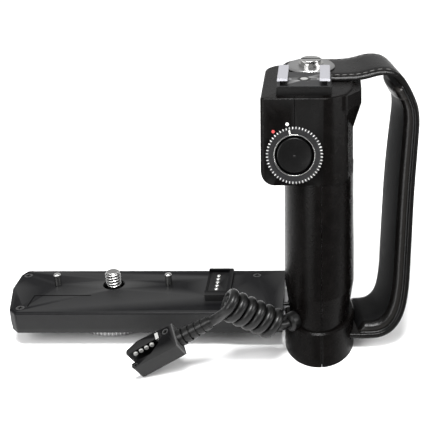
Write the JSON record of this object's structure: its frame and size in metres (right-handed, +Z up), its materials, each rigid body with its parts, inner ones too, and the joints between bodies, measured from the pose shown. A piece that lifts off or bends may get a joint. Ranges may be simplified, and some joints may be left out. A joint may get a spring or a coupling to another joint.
{
  "type": "camera side grip",
  "caption": "Camera side grip: base plate with camera screw and contact pins, raked handle with round release button, accessory shoe, leather hand strap and a curly cord with a jaw plug.",
  "frame": {"origin": "the camera screw's axis where it passes the base plate's top face", "axes": "+X along the plate towards the handle, +Y away from the release button's side, +Z up"},
  "size_m": [0.1704, 0.0974, 0.1042],
  "materials": {
    "plate_black": "satin",
    "pan_black": "satin",
    "shell_black": "matte",
    "bar_steel": "brushed",
    "screw_steel": "satin",
    "black_screw": "satin",
    "bright_chrome": "polished",
    "ring_metal": "satin",
    "shoe_metal": "satin",
    "spring_steel": "satin",
    "contact_silver": "polished",
    "mark_white": "matte",
    "mark_red": "matte",
    "strap_leather": "semi-gloss",
    "pad_leather": "matte",
    "cord_rubber": "matte",
    "plug_plastic": "satin",
    "board_green": "matte"
  },
  "bodies": {
    "grip": {"plate_cover": "plate_black", "badge_frame": "contact_silver", "plate_pan": "pan_black", "chassis_bar": "bar_steel", "pan_screws": "screw_steel", "cover_screws": "black_screw", "locating_pins": "bright_chrome", "contact_block": "plug_plastic", "contact_board": "board_green", "contact_springs": "spring_steel", "grip_left_shell": "shell_black", "grip_right_shell": "shell_black", "grip_spine": "bar_steel", "spine_screws": "screw_steel", "shell_screws": "black_screw", "foot_cap": "shell_black", "button_bezel": "bright_chrome", "button_spring": "spring_steel", "button_guide": "plug_plastic", "micro_switch": "plug_plastic", "index_dot_white": "mark_white", "index_dot_red": "mark_red", "shoe_block": "shell_black", "shoe_channel": "shoe_metal", "shoe_insulator": "plug_plastic", "shoe_contact": "contact_silver", "shoe_screws": "screw_steel", "shoe_springs": "spring_steel", "strap": "strap_leather", "strap_pad": "pad_leather", "strap_washer": "bright_chrome", "strap_bar": "bar_steel", "cable_gland": "cord_rubber", "cord_tail": "cord_rubber", "cord_coil": "cord_rubber", "cord_lead": "cord_rubber", "strain_relief": "cord_rubber", "plug_body": "plug_plastic", "plug_plate": "contact_silver", "plug_contacts": "mark_white", "plug_tab": "contact_silver", "plug_screws": "black_screw", "wire_loom": "cord_rubber"},
    "camera_screw": {"camera_screw": "bright_chrome", "thumbwheel": "bright_chrome", "retaining_clip": "spring_steel"},
    "contact_pins": {"contact_pins": "contact_silver"},
    "lock_ring": {"lock_ring": "ring_metal", "ring_mark": "mark_white"},
    "release_button": {"release_button": "shell_black"},
    "strap_screw": {"strap_screw": "bright_chrome"}
  },
  "joints": [
    {"name": "camera_screw_turn", "type": "hinge", "parent": "grip", "child": "camera_screw", "pos_m": [0, 0, 0], "axis": [0, 0, 1], "continuous": true},
    {"name": "contact_pins_press", "type": "slide", "parent": "grip", "child": "contact_pins", "axis": [0, 0, -1], "range_m": [0, 0.0008], "stiffness_N_per_m": 500, "deforming": ["contact_springs"]},
    {"name": "lock_ring_turn", "type": "hinge", "parent": "grip", "child": "lock_ring", "pos_m": [0.0775, -0.00608, 0.061], "axis": [0, -0.922, 0.3872], "range_deg": [0, 30]},
    {"name": "release_button_press", "type": "slide", "parent": "grip", "child": "release_button", "axis": [0, 0.922, -0.3872], "range_m": [0, 0.0015], "stiffness_N_per_m": 600, "deforming": ["button_spring"]},
    {"name": "strap_screw_turn", "type": "hinge", "parent": "grip", "child": "strap_screw", "pos_m": [0.0834, 0.0358, 0.084], "axis": [0, 0, 1], "continuous": true}
  ]
}
